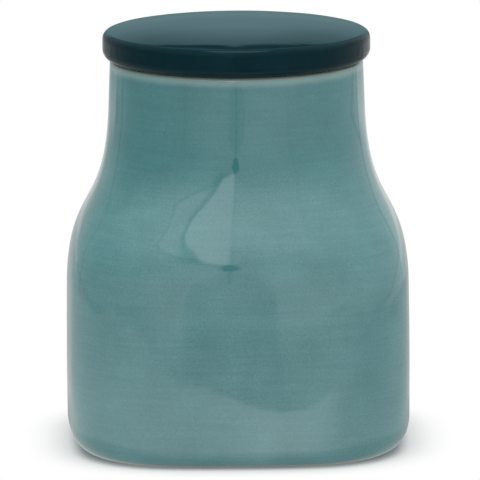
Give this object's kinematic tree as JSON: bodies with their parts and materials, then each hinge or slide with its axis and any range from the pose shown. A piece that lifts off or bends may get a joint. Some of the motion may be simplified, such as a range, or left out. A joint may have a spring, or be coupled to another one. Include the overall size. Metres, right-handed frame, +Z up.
{
  "type": "olive jar",
  "caption": "Rounded square glazed stoneware jar with a round neck and a loose round lid that seals with a soft ring.",
  "frame": {"origin": "centre of the foot, on the surface that the jar stands on", "axes": "+Z up through the neck, +X and +Y square to two of the four sides, -Y the side in the picture"},
  "size_m": [0.125, 0.125, 0.1542],
  "materials": {
    "jar_glaze": "satin gloss",
    "lid_glaze": "gloss",
    "seal": "satin"
  },
  "bodies": {
    "pot": {"jar": "jar_glaze"},
    "seal": {"seal_ring": "seal"},
    "cover": {"lid": "lid_glaze"}
  },
  "joints": [
    {"name": "lid_lift", "type": "slide", "parent": "pot", "child": "seal", "axis": [0, 0, 1], "range_m": [0, 0.12]},
    {"name": "lid_turn", "type": "hinge", "parent": "seal", "child": "cover", "pos_m": [0, 0, 0.14], "axis": [0, 0, 1], "continuous": true}
  ]
}
